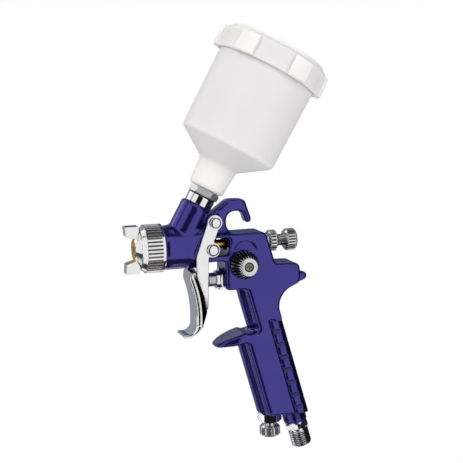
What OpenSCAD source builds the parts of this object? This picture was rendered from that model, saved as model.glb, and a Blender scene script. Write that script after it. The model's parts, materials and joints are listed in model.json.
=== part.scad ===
// A small gravity-feed spray gun: cast body with a hook and a raked grip, plastic paint cup on a
// tilted tube, air cap and knurled ring on the nose, and a two-cheek trigger that draws the needle
// back and opens the air valve.
// The shapes are drawn about the needle: +X to the rear, +Z up, Y across, X = 0 at the needle collar.
// The finished part is then moved so that its origin is the centre of the air inlet's end face.

/* [Fits] */
// Radial clearance of parts that turn or slide in a bore
run_fit = 0.05; // [0.02:0.01:0.10]
// Radial clearance of screwed and pressed seats
seat_fit = 0.02; // [0.01:0.01:0.05]
// Gap between faces that turn against each other
face_gap = 0.15; // [0.05:0.05:0.30]

/* [Head] */
// Radius of the barrel behind the ring
barrel_r = 13.9; // [13.5:0.1:14.5]
// Distance from the needle collar forward to the barrel's shoulder
head_reach = 39; // [37:0.5:41]
// Radius of the threaded nose that carries the ring
nose_r = 12.4; // [12:0.1:12.8]
// Length of the threaded nose
nose_len = 7; // [6:0.5:8]
// Distance from the needle collar forward to the foot of the cup tube
tube_reach = 30; // [29:0.5:31]
// Tilt of the cup tube from upright, to the rear
cup_tilt = 30; // [24:1:34]
// Radius of the cup tube
tube_r = 10.3; // [9.6:0.1:10.8]
// Length of the cup tube from the needle axis
tube_len = 29.3; // [28:0.1:31]
// Radius of the paint passage
paint_r = 3.6; // [3:0.1:4]

/* [Block and hook] */
// Half width of the block and grip
body_half = 11.8; // [11:0.1:12.2]
// Half width of the hook
hook_half = 5; // [4:0.1:6]
// Rounding of the block's edges
block_edge = 1.8; // [1:0.1:2.4]
// Height of the block's top deck over the needle axis
deck_z = 7; // [6.5:0.1:8]
// Depth of the block's front underside below the needle axis
block_drop = 28.3; // [28:0.1:30]
// Rear end of the tail shelf
shelf_x = 47.4; // [46:0.2:49]
// Height of the hook over the needle axis
hook_z = 28.2; // [27.5:0.1:30]
// Radius inside the hook
hook_in_r = 5.6; // [5:0.1:6]
// Height of the window that shows the needle
window_h = 11; // [10:0.1:11.5]
// Rear wall of that window
window_back = 1.6; // [1.4:0.1:2]

/* [Grip] */
// Rake of the grip from upright
grip_tilt = 15; // [12:1:18]
// Depth of the grip, front to back
grip_depth = 30.8; // [29:0.2:33]
// Depth of its waist above the finger spur
waist_depth = 21.6; // [20.6:0.2:23]
// Back of the grip behind the rake line
grip_back = 22; // [21:0.1:23]
// Length of the grip's front from the needle axis, along the rake
grip_len = 113.6; // [108:0.2:118]
// Distance along the rake to the top of the finger spur
spur_at = 57; // [55.6:0.2:58.4]
// Reach of the finger spur in front of the grip
spur_reach = 15.4; // [12:0.2:17]
// Number of raised pads down each side of the grip
pad_count = 8; // [5:1:8]
// Spacing of the pads
pad_pitch = 8.7; // [7:0.1:9.4]
// Side of a pad along the grip
pad_len = 6.1; // [4:0.1:6.4]
// Depth of the band that the pads stand in
pad_depth = 0.9; // [0.5:0.1:1.2]

/* [Trigger] */
// Pivot behind the collar station
pivot_x = -7.9; // [-8.6:0.1:-7.2]
// Pivot above the needle axis
pivot_z = 15.3; // [14.8:0.1:16]
// Radius of the pivot pin
pivot_r = 2; // [1.8:0.1:2.2]
// Station of the stud that draws the needle
stud_x = -9.8; // [-10.2:0.1:-9.4]
// Stud below the needle axis
stud_drop = 1.6; // [1.2:0.1:1.9]
// Radius of that stud
stud_r = 3; // [2.8:0.1:3.2]
// Thickness of the trigger's cheeks
cheek_t = 1.5; // [1.2:0.1:1.8]
// Half width between the cheeks
cheek_gap = 12.5; // [12.45:0.05:13]
// Radius of the cheek's lobes
lobe_r = 4.8; // [4.6:0.1:5.2]
// Half width of the finger blade
blade_half = 9.7; // [9.2:0.1:10.2]

/* [Needle and fluid control] */
// Radius of the needle
needle_r = 1.2; // [1:0.05:1.3]
// Radius of the paint orifice
orifice_r = 0.5; // [0.4:0.05:0.6]
// Radius of the needle collar
collar_r = 2.8; // [2.6:0.1:3]
// Radius of the fluid knob
fluid_knob_r = 7; // [6.6:0.1:7.6]
// Length of the fluid knob
fluid_knob_len = 7.3; // [6.6:0.1:8.4]
// Radius of the lock nut
lock_nut_r = 6.8; // [6.2:0.1:7.2]
// Radius of the fluid knob's threaded rod
fluid_rod_r = 3.7; // [3.6:0.05:3.9]
// Ridges round the fluid knob and the lock nut
fluid_ridges = 24; // [16:1:30]

/* [Air valve and fan control] */
// Depth of the air valve below the needle axis
valve_drop = 22.5; // [22.2:0.1:22.8]
// Radius of the valve's plunger
plunger_r = 4.4; // [4.2:0.1:4.5]
// Fan control behind the collar station
fan_x = 10.3; // [9.6:0.1:11]
// Fan control below the needle axis
fan_drop = 12.2; // [12:0.1:12.4]
// Radius of the fan knob's skirt
fan_skirt_r = 9.1; // [8.6:0.1:9.5]
// Radius of the fan knob's face
fan_face_r = 5.6; // [5.2:0.1:6]
// Height of the fan knob
fan_knob_h = 11; // [10:0.1:12]
// Ridges round the fan knob
fan_ridges = 24; // [16:1:30]

/* [Ring and air cap] */
// Radius of the ring
ring_r = 15.1; // [14.8:0.1:15.6]
// Grooves round the ring
ring_grooves = 40; // [28:1:48]
// Depth of those grooves
groove_depth = 0.55; // [0.3:0.05:0.7]
// Reach of the horns in front of the cap's face
horn_reach = 5.6; // [4.4:0.1:6.8]
// Width of a horn
horn_w = 8; // [6:0.2:9]

/* [Air inlet and air control] */
// Radius of the inlet's thread
inlet_r = 6.58; // [6.4:0.02:6.8]
// Length of the inlet's thread
inlet_thread = 11.8; // [10:0.1:13]
// Width across the flats of the inlet's nut
nut_af = 14; // [13.6:0.1:16]
// Radius of the inlet's bore
inlet_bore = 4; // [3.5:0.1:4.3]
// Width across the flats of the air control's nut
control_af = 13.6; // [13:0.1:13.8]
// Air control's axis behind the rake line at the foot of the grip
control_set = -0.6; // [-1.2:0.1:-0.5]
// Radius of the air control knob
control_knob_r = 6.7; // [6.2:0.1:7.2]
// Length of the air control knob
control_knob_len = 7.1; // [6.5:0.1:8]
// Ridges round the air control knob
control_ridges = 22; // [16:1:28]

/* [Cup] */
// Radius of the cup at its shoulder
cup_r = 31.4; // [29:0.2:33]
// Widening of the cup from shoulder to rim
cup_draft = 1.1; // [0.6:0.1:1.6]
// Wall of the cup
cup_wall = 1.8; // [1.4:0.1:2.2]
// Height of the cup's straight wall
cup_wall_h = 67; // [58:0.5:75]
// Height of the cup's neck
neck_h = 17.2; // [16:0.2:19]
// Radius of the neck's foot
neck_r = 11.4; // [11:0.1:12]
// Height of the cup's conical shoulder
shoulder_h = 12.6; // [10:0.2:15]
// Height of the lid
lid_h = 17; // [15:0.2:19]
// Wall of the lid
lid_wall = 2; // [1.6:0.1:2.4]
// Grip lugs round the lid
lid_lugs = 6; // [4:1:8]

/* [Hidden] */
$fn = 64;
far = 200;

// Stations along the needle
barrel_face = -head_reach;
nose_face = barrel_face - nose_len;
window_front = -16;
window_z = -0.55;
baffle_len = 3;
baffle_face = nose_face - baffle_len;
cap_back = baffle_face - face_gap;
cap_r = 11.4;
cap_rim = cap_back - 4.3;
cap_face = cap_rim - 3.6;
cap_face_r = 6.2;
horn_tip = cap_face - horn_reach;
snap_wire = 0.6;
snap_x = cap_back - 1.6;
ring_lip = snap_x - snap_wire - 0.05;
ring_front = cap_rim + 0.15;
ring_rear = barrel_face - face_gap;
nozzle_tip = cap_face - 0.3;
needle_end = 24;
packing_x = window_front - 2.4;
packing_len = 3.8;
packing_r = 3.4;
collar_front = stud_x + stud_r + 0.3;
collar_len = 8.8;
sleeve_front = 16;
sleeve_back = 29.85;
sleeve_r = 5;
lock_front = sleeve_back + face_gap;
lock_len = 5.1;
knob_front = 40.9;
spring_back = 34;
spring_cavity_r = 4;

// The air valve, along its own axis
block_front = -0.9;
gland_front = -5.2;
gland_thread_r = 5.5;
gland_shoulder = 6;
gland_back = 12.5;
chamber_r = 5;
chamber_back = 27;
stem_r = 1.6;
stem_front = -10.6;
plunger_back = -1;
plunger_stop = 4.6;
poppet_front = gland_back + 1.35;
poppet_len = 2;

// The fan control, across the body from its near side
fan_z = -fan_drop;
fan_bush_r = 4.2;
fan_bush_in = 5;
fan_spindle_r = 2;
fan_base = body_half + 1.5;
fan_flange_r = 6;
fan_flange_t = 1.2;
fan_screw_r = 2.7;
fan_screw_head = 1.6;
fan_screw_shank_r = 1.2;
fan_screw_shank = 4.6;
fan_screw_sink = 2;
fan_slot = 3.2;
fan_face = fan_base + fan_knob_h;
fan_groove = 0.9;
fan_well_r = 2.6;

// The grip, drawn along its own rake
grip_front = grip_back - grip_depth;
waist_front = grip_back - waist_depth;
inlet_b = 13.9;
inlet_boss_r = 7.6;
boss_drop = 13.8;
boss_root = 6;
boss_a = grip_len + boss_drop;
foot_z = -grip_len * cos(grip_tilt) + grip_front * sin(grip_tilt);
control_x = grip_len * sin(grip_tilt) + control_set;
hex_len = 4.5;
inlet_turn = 18;
inlet_end_a = boss_a + hex_len + inlet_thread;
inlet_end = raked(inlet_b, inlet_end_a);
control_hex_len = 5.7;
control_turn = -14;
control_neck = 2.5;
control_knob_top = foot_z - control_hex_len - control_neck;
control_spindle_r = 2;

// The cup, up its own axis from the needle axis
socket_r = 8.85;
socket_len = 6.1;
seal_t = 0.4;
union_foot = tube_len + socket_len + seal_t;
union_hex = 4.4;
neck_foot = union_foot + union_hex + 0.3;
neck_top_r = 12.5;
shoulder_foot = neck_foot + neck_h;
shoulder_top = shoulder_foot + shoulder_h;
cup_rim = shoulder_top + cup_wall_h;
cup_rim_r = cup_r + cup_draft;
lid_skirt = 14;
lid_foot = cup_rim - lid_skirt;
lid_in_r = cup_rim_r + 0.3;
lid_r = lid_in_r + lid_wall - 0.2;
lug_r = lid_r + 2.9;
lug_turn = 44;
lug_h = lid_h * 0.78;
lid_top = lid_foot + lid_h;
lid_vent_r = 0.9;
spigot_r = 7.5;
spigot_len = 13;
spigot_top = union_foot + union_hex + spigot_len;
union_af = 17.2;
union_turn = -14;
plug_r = 5;
plug_len = 8.4;

// A point on the grip: b behind the rake line and a down it
function raked(b, a) = [b * cos(grip_tilt) + a * sin(grip_tilt), 0, b * sin(grip_tilt) - a * cos(grip_tilt)];

function unit(v) = v / norm(v);
function flat(p) = [p.x, p.y];
function left_of(p, q) = let (d = unit(flat(q) - flat(p))) [-d.y, d.x];

// The points of one rounded corner, from its first tangent point to its second
function arc_of(before, here, after, steps) =
    let (u = unit(flat(before) - flat(here)), v = unit(flat(after) - flat(here)),
        half = acos(u * v) / 2, centre = flat(here) + unit(u + v) * here.z / sin(half),
        m = left_of(before, here), turn = sign(cross(m, left_of(here, after))),
        from = atan2(-turn * m.y, -turn * m.x), sweep = turn * (180 - 2 * half))
    [for (k = [0:steps]) centre + here.z * [cos(from + sweep * k / steps), sin(from + sweep * k / steps)]];

// An outline of corners [x, y, radius], each rounded by its own radius, anticlockwise
function rounded(c, steps = 5) = [for (i = [0:len(c) - 1])
    each arc_of(c[(i + len(c) - 1) % len(c)], c[i], c[(i + 1) % len(c)], steps)];

// A flat plate in the XZ plane between two stations across the body
module across(y0, y1) translate([0, y1, 0]) rotate([90, 0, 0]) linear_extrude(y1 - y0) children();

module along_x() rotate([0, 90, 0]) children();
module to_near_side() rotate([90, 0, 0]) children();
module on_valve() translate([0, 0, -valve_drop]) along_x() children();
module on_stud() translate([stud_x, 0, -stud_drop]) to_near_side() children();
module on_fan() translate([fan_x, 0, fan_z]) to_near_side() children();
module on_cup() translate([-tube_reach, 0, 0]) rotate([0, cup_tilt, 0]) children();
module on_grip() rotate([0, -grip_tilt, 0]) children();
module on_inlet() on_grip() translate([inlet_b, 0, 0]) mirror([0, 0, 1]) children();
module on_control() translate([control_x, 0, 0]) children();
module finished() translate(-inlet_end) children();

// A rod between two heights
module rod(r, from, to) translate([0, 0, from]) cylinder(r = r, h = to - from);
// A rod with a hole between two heights
module tube(r, hole, from, to) difference() {
    rod(r, from, to);
    rod(hole, from - 1, to + 1);
}
// A hexagonal prism, by its width across the flats
module hexagon(af, from, to) translate([0, 0, from]) cylinder(r = af / sqrt(3), h = to - from, $fn = 6);
// A hexagonal prism whose corners are turned off at both ends, set at an angle
module nut(af, from, to, turn = 0) intersection() {
    rotate(turn) hexagon(af, from, to);
    rotate_extrude() polygon([[0, from], [af * 0.5, from], [af * 0.575, from + 0.75],
        [af * 0.575, to - 0.75], [af * 0.5, to], [0, to]]);
}
// A straight-ridged band: round grooves cut into a disc
module ridged(r, count, depth, from, to) {
    groove = PI * r / count * 0.5;
    translate([0, 0, from]) linear_extrude(to - from) difference() {
        circle(r);
        for (i = [0:count - 1]) rotate(360 * (i + 0.5) / count)
            translate([r + groove - depth, 0]) circle(groove, $fn = 24);
    }
}
// A knob with a ridged rim and turned-off edges
module ridged_knob(r, count, depth, from, to, chamfer) intersection() {
    ridged(r, count, depth, from, to);
    rotate_extrude() polygon([[0, from], [r - chamfer, from], [r + 0.1, from + chamfer + 0.1],
        [r + 0.1, to - chamfer - 0.1], [r - chamfer, to], [0, to]]);
}
// A round-headed screw, head up from z = 0, with its shank below
module domed_screw(head_r, head_h, shank_r, shank_len) {
    rotate_extrude() polygon(concat([[0, 0], [head_r, 0]],
        [for (a = [0:15:90]) [head_r - head_h * 0.7 * (1 - cos(a)), head_h * (0.3 + 0.7 * sin(a))]],
        [[0, head_h]]));
    rod(shank_r, -shank_len, 0.01);
}

// A coil spring along +Z as one unbroken tube
coil_rings = 8;
coil_sides = 6;
function coil_centre(r, wire, from, to, turns, k) =
    let (a = 360 * k / coil_rings, z = from + wire + (to - from - 2 * wire) * k / (turns * coil_rings))
    [r * cos(a), r * sin(a), z];
module coil(r, wire, from, to, turns) {
    n = turns * coil_rings;
    points = [for (k = [0:n], s = [0:coil_sides - 1])
        let (c = coil_centre(r, wire, from, to, turns, k), a = 360 * k / coil_rings, b = 360 * s / coil_sides)
        c + wire * [cos(b) * cos(a), cos(b) * sin(a), sin(b)]];
    polyhedron(points = points, faces = [
        [for (s = [coil_sides - 1:-1:0]) s],
        [for (s = [0:coil_sides - 1]) n * coil_sides + s],
        for (k = [0:n - 1], s = [0:coil_sides - 1])
            let (t = (s + 1) % coil_sides, p = k * coil_sides, q = p + coil_sides)
            each [[p + s, p + t, q + t], [p + s, q + t, q + s]]]);
}

// Corners of the block, the web round the window, the tail shelf and the hook
hook_left = window_back + 0.5;
neck_x = 33.7;
neck_bend = 13;
frame_corners = [
    [-33, -6.4, 0.5], [-17.4, -6.4, 1.5], [-14.8, -9.7, 1.5], [block_front, -9.7, 1.2],
    [block_front, -block_drop, 1.6], [14, -block_drop, 1], [18.5, -46, 1], [35.6, -50.4, 1],
    [neck_x, -43.2, 14], [neck_x, -32.7, neck_bend], [shelf_x, -26.5, 1.6], [shelf_x + 0.6, -20.2, 0.8],
    [shelf_x, -14, 3], [31.8, -13.6, 1.6], [25.6, deck_z, 2.2], [hook_left, deck_z, hook_in_r - 0.4],
    [hook_left, hook_z - 7.6, hook_in_r], [hook_left + 2 * hook_in_r - 0.6, hook_z - 7.6, 4.2],
    [14.9, 12.4, 1.4], [19, 13.6, 1.3], [14.4, hook_z - 0.5, 2.6], [3.4, hook_z, 5],
    [-7.4, 20.4, 2], [-14, 12, 2], [-33, 12, 0.5]];
tail_corners = [
    [38, -29.4, 1], [47.5, -28.2, 4], [54.4, -25.9, 1.6], [55.3, -21.3, 2.1], [48.4, -21, 0.6],
    [38, -20.4, 1]];
tail_half = 4.4;
// Half widths of that casting by height: a rounded deck edge, then a sweep in to the hook
flare = 6;
deck_half = body_half - block_edge;
frame_widths = concat([[body_half, -60]],
    [for (a = [0:22.5:90]) [deck_half + block_edge * cos(a), deck_z - block_edge + block_edge * sin(a)]],
    [for (a = [15:15:90])
        [hook_half + (deck_half - hook_half) * (1 - sin(a)), deck_z + flare * (1 - cos(a))]],
    [[hook_half, 60]]);

module frame() intersection() {
    across(-body_half - 1, body_half + 1) polygon(rounded(frame_corners));
    facing() polygon(concat(frame_widths,
        [for (i = [len(frame_widths) - 1:-1:0]) [-frame_widths[i].x, frame_widths[i].y]]));
}

// The grip's section: a round column down the front of a wider panel
grip_half = body_half - 0.06;
column_r = 8.2;
panel_step = 3.8;
panel_edge = 2.4;
grip_heel = 4;
function panel_corners(front, back) = [
    [front + panel_step, -grip_half, panel_edge], [back, -grip_half, grip_heel],
    [back, grip_half, grip_heel], [front + panel_step, grip_half, panel_edge]];
module grip_section(front, back) {
    translate([front + column_r, 0]) circle(column_r);
    polygon(rounded(panel_corners(front, back)));
}
grip_top = 26;
// The finger spur from the side, and from above where it narrows to its tip
spur_tip = grip_front - spur_reach;
spur_side = [
    [waist_front + 4, -spur_at - 7, 1], [waist_front + 4, -spur_at, 1],
    [grip_front - spur_reach * 0.4, -spur_at - 0.9, 12], [spur_tip, -spur_at - 2.8, 0.9],
    [spur_tip, -spur_at - 4.6, 0.9], [grip_front - 1.6, -spur_at - 6.8, 5]];
spur_half = grip_half - 0.06;
spur_nose = 7.6;
spur_root = 2;
spur_plan = [[spur_tip - 0.1, -spur_nose, spur_nose - 0.2], [grip_front - 1, -spur_half, 8],
    [grip_front + 6, -spur_half, 1], [grip_front + 6, spur_half, 1], [grip_front - 1, spur_half, 8],
    [spur_tip - 0.1, spur_nose, spur_nose - 0.2]];
pad_first = spur_at - 1;
pad_b = 13.4;
pad_w = 5.4;
band_b = pad_b - 0.9;
band_floor = [[band_b - 9, -grip_half + pad_depth, 0.5], [grip_back + 0.04, -grip_half + pad_depth, grip_heel],
    [grip_back + 0.04, 0, 0.5], [band_b - 9, 0, 0.5]];

module grip() {
    difference() {
        on_grip() difference() {
            up_rake(grip_len + far / 4, grip_top) grip_section(grip_front, grip_back);
            up_rake(spur_at + spur_root, grip_top - 1) difference() {
                translate([grip_front - 1, -far / 2])
                    square([waist_front + panel_step + panel_edge - grip_front + 1, far]);
                grip_section(waist_front, grip_back + 9);
            }
            for (side = [0, 1]) mirror([0, side, 0]) grip_band();
        }
        translate([-far, -far, foot_z - far]) cube([2 * far, 2 * far, far]);
    }
    on_grip() intersection() {
        across(-far / 2, far / 2) polygon(rounded(spur_side));
        up_rake(spur_at + 20, spur_at - 10) polygon(rounded(spur_plan));
    }
    on_inlet() rod(inlet_boss_r, grip_len - boss_root, boss_a);
}
// A section drawn up the rake between two distances along it
module up_rake(from, to) translate([0, 0, -from]) linear_extrude(from - to) children();
// The sunk band down the back of one side, around its raised pads
module grip_band() {
    length = pad_count * pad_pitch;
    difference() {
        translate([0, 0, -pad_first + 1.6 - length]) linear_extrude(length) difference() {
            translate([band_b, -grip_half - 1]) square([grip_back, grip_half]);
            polygon(rounded(band_floor));
        }
        for (i = [0:pad_count - 1])
            translate([pad_b, -grip_half - 2, -pad_first - i * pad_pitch - pad_len])
                cube([pad_w, 4, pad_len]);
    }
}

// The barrel and its threaded nose, with a flat on each side where the cheeks straddle it
hub_half = cheek_gap - 0.4;
hub_back = pivot_x - 4.4;
cheek_room = [
    [-13.4, far, 1], [-13.4, 17, 1], [-21.6, -6, 9], [-21.2, -far, 1], [far, -far, 1], [far, far, 1]];
module barrel() {
    difference() {
        along_x() rod(barrel_r, barrel_face, hub_back);
        for (side = [0, 1]) mirror([0, side, 0]) across(hub_half, far) polygon(rounded(cheek_room));
    }
    along_x() rod(nose_r, nose_face, barrel_face + 1);
}

module body_bores() {
    // The window across the body
    translate([window_front, -far / 2, window_z - window_h / 2])
        cube([window_back - window_front, far, window_h]);
    along_x() {
        rod(nozzle_thread_r + seat_fit, nose_face - 1, nose_face + nozzle_thread_len + 0.3);
        rod(paint_r - 0.4, nose_face - 1, packing_x - packing_len - 1.2);
        rod(needle_r + 0.3, nose_face, window_front + 1);
        rod(packing_r + seat_fit, packing_x - packing_len - seat_fit, window_front + 1);
        rod(spring_cavity_r, window_back - 1, sleeve_front + 1);
        rod(sleeve_r + seat_fit, sleeve_front, far);
    }
    // Paint passage and the cup socket's seat
    on_cup() {
        rod(paint_r, 0, tube_len + 1);
        rod(socket_thread_r + seat_fit, tube_len - socket_thread_len - 0.3, tube_len + 1);
    }
    // Trigger pivot
    translate([pivot_x, 0, pivot_z]) to_near_side() rod(pivot_r + seat_fit, -far, far);
    // Air valve
    on_valve() {
        rod(gland_thread_r + seat_fit, block_front - 5, gland_shoulder + 0.2);
        rod(chamber_r, 0, chamber_back);
    }
    // Fan control and its passages
    on_fan() {
        rod(fan_bush_r + seat_fit, fan_bush_in, far);
        rod(fan_well_r, -3, fan_bush_in + 1);
    }
    translate([fan_x - 1.7, 0, 0]) rod(fan_feed_r, -valve_drop, fan_z);
    translate([fan_x, 0, 0]) rod(air_hole_r, fan_z, air_hole_z);
    translate([0, 0, air_hole_z]) along_x() rod(air_hole_r, nose_face - 1, fan_x);
    // Air inlet, air control and the passage up the grip
    on_inlet() {
        rod(inlet_seat_r + seat_fit, boss_a - inlet_seat_len - 0.3, far);
        rod(inlet_bore, control_cross_a, boss_a);
    }
    on_control() {
        rod(control_thread_r + seat_fit, foot_z - 1, foot_z + control_thread_len + 0.3);
        rod(control_bore, foot_z, control_top);
    }
    channel([control_x, 0, cross_z], [raked(inlet_b, control_cross_a).x, 0, cross_z], cross_r);
    channel([control_x, 0, control_top - 2], [20, 0, -valve_drop], air_way_r);
}
// A drilled passage from one point to another in the XZ plane
module channel(p, q, r) translate(p)
    rotate([0, atan2(q.x - p.x, q.z - p.z), 0]) cylinder(r = r, h = norm(q - p));

nozzle_thread_r = 4.6;
nozzle_thread_len = 8;
socket_thread_r = 6.5;
socket_thread_len = 9;
fan_feed_r = 1.5;
air_hole_r = 1.2;
air_hole_z = -8;
inlet_seat_r = 6.2;
inlet_seat_len = 11;
control_thread_r = 5.5;
control_thread_len = 10;
control_bore = 3;
control_rise = 19;
control_top = foot_z + control_rise;
cross_r = 2.2;
cross_z = control_top - 3.6;
air_way_r = 2.7;
control_cross = 26;
control_cross_a = boss_a - control_cross;

// Sunk crescent over the fan knob that widens with the fan
module fan_crescent() translate([fan_x, 0, fan_z]) across(-body_half - 1, -body_half + 0.5)
    difference() {
        translate([1.5, 7.6]) circle(7.4);
        translate([1.9, -1.1]) circle(12);
    }

module gun_body() color("darkslateblue") difference() {
    union() {
        frame();
        across(-tail_half, tail_half) polygon(rounded(tail_corners));
        grip();
        barrel();
        on_cup() rod(tube_r, 4, tube_len);
        translate([pivot_x, 0, pivot_z]) to_near_side() rod(lobe_r + 0.3, -cheek_gap + 0.2, cheek_gap - 0.2);
    }
    body_bores();
    fan_crescent();
}

module retaining_ring() color("silver") along_x() difference() {
    union() {
        rotate_extrude() polygon([[0, ring_rear], [ring_r - 0.4, ring_rear], [ring_r, ring_rear - 0.4],
            [ring_r, ring_rear - 2], [ring_r - groove_depth, ring_rear - 2.2],
            [ring_r - groove_depth, ring_front + 2.6], [ring_r - 0.7, ring_front + 2.4],
            [ring_r - 2.1, ring_front], [0, ring_front]]);
        ridged(ring_r, ring_grooves, groove_depth, ring_front + 2.8, ring_rear - 1.9);
    }
    rod(nose_r + run_fit, ring_lip, ring_rear + 1);
    rod(cap_r + run_fit + 0.15, ring_front - 1, ring_rear);
}

horn_root = cap_r - 1.2;
horn_corners = [
    [cap_rim - 0.75, ring_r - 0.2, 0.5], [horn_tip, ring_r - 0.1, 0.6], [horn_tip + 0.5, 8.6, 0.8],
    [cap_rim - 1.6, cap_face_r + 0.2, 0.4], [cap_rim + 0.6, 7, 0.3], [cap_rim + 0.6, horn_root, 0.2],
    [cap_rim - 0.05, horn_root, 0.2]];
cap_hole_r = 1.7;
cap_bore_r = 9.6;
cap_jet_r = 0.5;
cap_jet_at = 4;
horn_jet_r = 0.55;
horn_jet_at = [1.6, 3.4];
horn_jet_tilt = 26;
module air_cap() color("silver") difference() {
    union() {
        along_x() rotate_extrude() polygon([[cap_hole_r, cap_face], [cap_face_r, cap_face],
            [cap_face_r + 0.5, cap_face + 0.5], [cap_r, cap_rim], [cap_r, cap_back], [cap_bore_r, cap_back],
            [cap_bore_r, cap_rim + 1.4], [2 * cap_hole_r, cap_face + 2.2], [cap_hole_r, cap_face + 1.2]]);
        for (side = [0, 1]) mirror([0, 0, side]) intersection() {
            across(-horn_w / 2, horn_w / 2) polygon(rounded(horn_corners, 3));
            along_x() rod(ring_r, horn_tip - 1, cap_back);
        }
    }
    // Groove for the snap ring
    along_x() rotate_extrude() translate([cap_r + 0.15, snap_x]) circle(snap_wire + 0.05);
    // Air jets: two in each horn and four round the nozzle
    for (side = [0, 1]) mirror([0, 0, side]) for (x = horn_jet_at)
        translate([cap_face - x, 0, cap_r + 0.6]) rotate([0, 180 + horn_jet_tilt, 0])
            cylinder(r = horn_jet_r, h = cap_bore_r - 0.6);
    for (i = [0:3]) rotate([45 + 90 * i, 0, 0])
        translate([cap_face - 1, 0, cap_jet_at]) along_x() cylinder(r = cap_jet_r, h = cap_face_r);
}

module cap_snap_ring() color("dimgray") along_x() translate([0, 0, snap_x]) rotate(20)
    rotate_extrude(angle = 320) translate([cap_r + 0.15, 0]) circle(snap_wire);

nozzle_hex_af = 11;
baffle_holes = 10;
baffle_hole_r = 1;
baffle_hole_at = 9.6;
module air_baffle() color("gainsboro") along_x() difference() {
    rod(nose_r - run_fit, baffle_face, nose_face);
    rod(nozzle_hex_af / sqrt(3) + 0.4, baffle_face - 1, nose_face + 1);
    for (i = [0:baffle_holes - 1]) rotate(360 * i / baffle_holes) translate([baffle_hole_at, 0, 0])
        rod(baffle_hole_r, baffle_face - 1, nose_face + 1);
}

module fluid_nozzle() color("silver") along_x() {
    difference() {
        union() {
            rod(nozzle_thread_r, nose_face - 1, nose_face + nozzle_thread_len);
            nut(nozzle_hex_af, nose_face - 3.6, nose_face);
            rotate_extrude() polygon([[0, nose_face - 3.5], [5, nose_face - 3.5], [2.5, nozzle_tip + 3.6],
                [orifice_r + 0.7, nozzle_tip + 2.6], [orifice_r + 0.7, nozzle_tip], [0, nozzle_tip]]);
        }
        rod(paint_r - 0.9, nozzle_tip + 6.4, nose_face + nozzle_thread_len + 1);
        needle_taper(run_fit);
    }
}
// The taper at the needle's point, which the nozzle's seat follows
taper_len = 6;
module needle_taper(gap) rotate_extrude() polygon([[0, nozzle_tip - 2], [orifice_r + gap, nozzle_tip - 2],
    [orifice_r + gap, nozzle_tip + 0.6], [needle_r + gap, nozzle_tip + taper_len],
    [needle_r + gap, nozzle_tip + taper_len + 2], [0, nozzle_tip + taper_len + 2]]);

module fluid_needle() color("silver") along_x() rotate_extrude()
    polygon([[0, nozzle_tip - 0.4], [orifice_r * 0.5, nozzle_tip - 0.4], [orifice_r, nozzle_tip + 0.6],
        [needle_r, nozzle_tip + taper_len], [needle_r, needle_end - 0.4],
        [needle_r - 0.4, needle_end], [0, needle_end]]);
module needle_collar() color("goldenrod") along_x() difference() {
    union() {
        rod(collar_r, collar_front, collar_front + collar_len);
        rod(collar_r + 0.5, collar_front + 1.2, collar_front + 2.6);
    }
    rod(needle_r + seat_fit, collar_front - 1, collar_front + collar_len + 1);
}
module needle_packing() color("white") along_x()
    tube(packing_r, needle_r + run_fit, packing_x - packing_len, packing_x);
packing_nut_af = 8;
packing_nut_len = 2.6;
module packing_nut() color("goldenrod") along_x() difference() {
    union() {
        rod(packing_r, packing_x, window_front + 0.5);
        nut(packing_nut_af, window_front, window_front + packing_nut_len);
    }
    rod(needle_r + run_fit, packing_x - 1, 0);
}
needle_coil_r = 2.4;
needle_coil_wire = 0.35;
needle_coil_turns = 15;
needle_coil_front = collar_front + collar_len;
module needle_spring() color("gray") along_x()
    coil(needle_coil_r, needle_coil_wire, needle_coil_front + 0.05, spring_back - 0.05, needle_coil_turns);
module fluid_sleeve() color("silver") along_x()
    tube(sleeve_r, fluid_rod_r + run_fit, sleeve_front, sleeve_back);
module fluid_lock_nut() color("silver") along_x() difference() {
    ridged_knob(lock_nut_r, fluid_ridges - 4, 0.5, lock_front, lock_front + lock_len, 0.7);
    rod(fluid_rod_r + run_fit, lock_front - 1, lock_front + lock_len + 1);
}
module fluid_knob() color("silver") along_x() difference() {
    union() {
        ridged_knob(fluid_knob_r, fluid_ridges, 0.5, knob_front, knob_front + fluid_knob_len, 1.1);
        rod(fluid_rod_r, needle_end + 1.2, knob_front + 1);
    }
    rod(needle_coil_r + needle_coil_wire + 0.2, needle_end, spring_back);
    rod(fluid_knob_r - 2.6, knob_front + fluid_knob_len - 0.6, far);
}

// The trigger from the side: a cheek with its shoulder, and the trim behind and below the finger blade
cheek_corners = [
    [-14.2, -39.4, 0.3], [-12.7, -39.4, 0.5], [-13.1, -23.5, 8], [-12.6, -7, 5], [-8.6, 4.2, 6],
    [-5.6, 11.6, 2],
    [pivot_x, pivot_z + 2, 2], [-12.3, pivot_z + 1.2, 2], [-20.6, -6, 9], [-19.9, -19, 8],
    [-15.6, -31, 8]];
blade_trim = [
    [-22.9, -15.8, 1], [-24.2, -23, 3], [-40, -33, 1], [-40, -55.4, 1], [-24.6, -56.9, 2.4],
    [-17.2, -52.6, 8], [-13, -41.4, 5], [-14.4, -29, 8], [-14.2, -15.8, 1]];
// From the front: the shoulders draw in from the cheeks to the blade.
// A web joins the cheeks below the barrel.
cheek_out = cheek_gap + cheek_t;
web_top = -17.4;
yoke_front = [[-cheek_out, far, 1], [-cheek_out, -21.5, 6], [-blade_half - 0.8, -40.5, 1],
    [blade_half + 0.8, -40.5, 1], [cheek_out, -21.5, 6], [cheek_out, far, 1]];
yoke_gap = [[-cheek_gap, web_top, 2], [cheek_gap, web_top, 2], [cheek_gap, far, 1], [-cheek_gap, far, 1]];
pad_face = stem_front - 0.3;
valve_pad_r = 2.4;
valve_pad_root = -15;
stud_screw_r = 1.8;
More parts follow.
